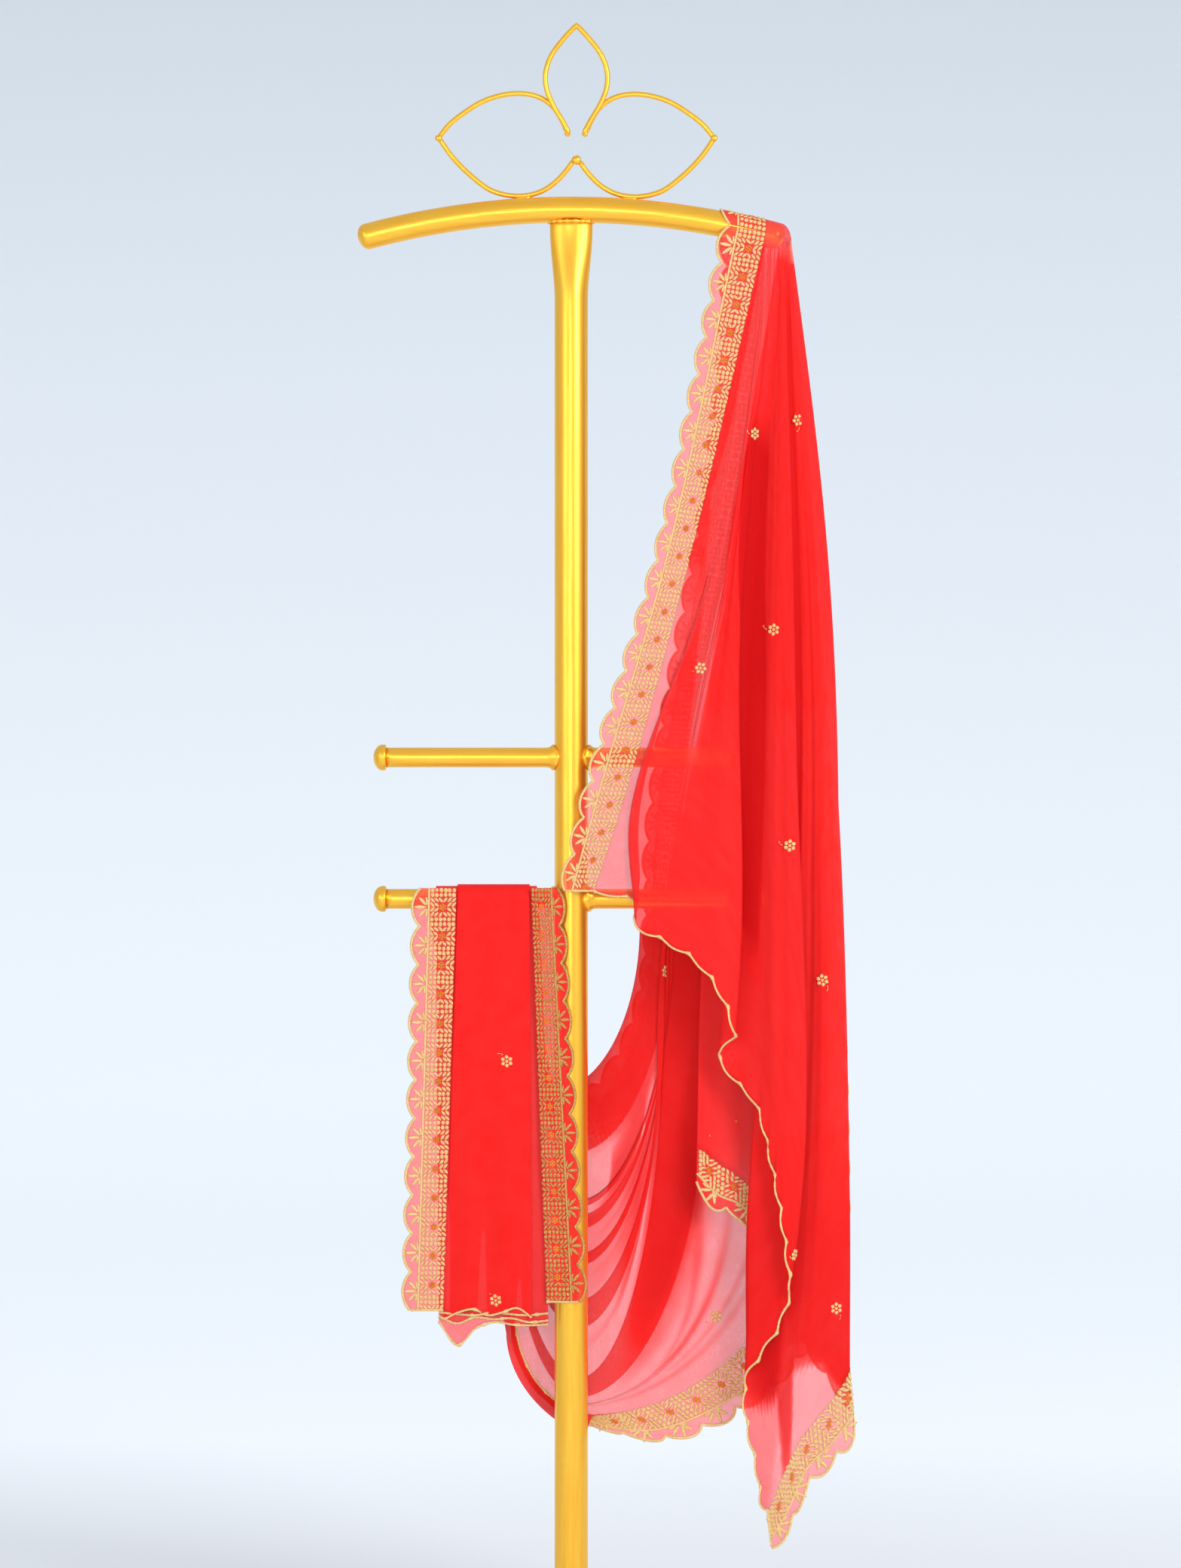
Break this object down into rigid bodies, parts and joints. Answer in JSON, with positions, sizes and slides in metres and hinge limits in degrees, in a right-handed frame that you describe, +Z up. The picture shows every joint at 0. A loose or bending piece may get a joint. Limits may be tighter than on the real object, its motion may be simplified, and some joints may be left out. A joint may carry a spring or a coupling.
{
  "type": "dupatta stole on a display stand",
  "caption": "Sheer red dupatta stole with scalloped gold borders, draped over a gilt post stand with a bent top bar, side rods and a wire lotus finial.",
  "frame": {"origin": "centre of the foot's underside, on the post's axis", "axes": "+Z up the post, -Y out of the front of the stole, +X towards the end of the top bar that the stole hangs on"},
  "size_m": [0.4796, 0.35, 1.5881],
  "materials": {
    "chiffon_red": "sheer red chiffon, pink where one layer hangs alone",
    "border_gold": "satin stitch and sequins on sheer red ground",
    "gilt_paint": "satin gilt paint"
  },
  "bodies": {
    "root": {"foot": "gilt_paint", "post": "gilt_paint", "top_bar": "gilt_paint", "upper_rod_left": "gilt_paint", "upper_rod_right": "gilt_paint", "lower_rod_left": "gilt_paint", "lower_rod_right": "gilt_paint", "upper_cap_left": "gilt_paint", "upper_cap_right": "gilt_paint", "lower_cap_left": "gilt_paint", "lower_cap_right": "gilt_paint", "lotus_petal_left": "gilt_paint", "lotus_petal_right": "gilt_paint", "lotus_petal_top": "gilt_paint", "front_fall": "chiffon_red", "turned_edge": "chiffon_red", "bar_saddle": "chiffon_red", "swag_panel": "chiffon_red", "rod_fold_layers": "chiffon_red", "rod_fold_panel": "chiffon_red", "left_border": "border_gold", "tail_border": "border_gold", "turned_border": "border_gold", "saddle_border": "border_gold", "swag_border_upper": "border_gold", "swag_border_lower": "border_gold", "hanging_border_left": "border_gold", "hanging_border_right": "border_gold"}
  },
  "joints": []
}
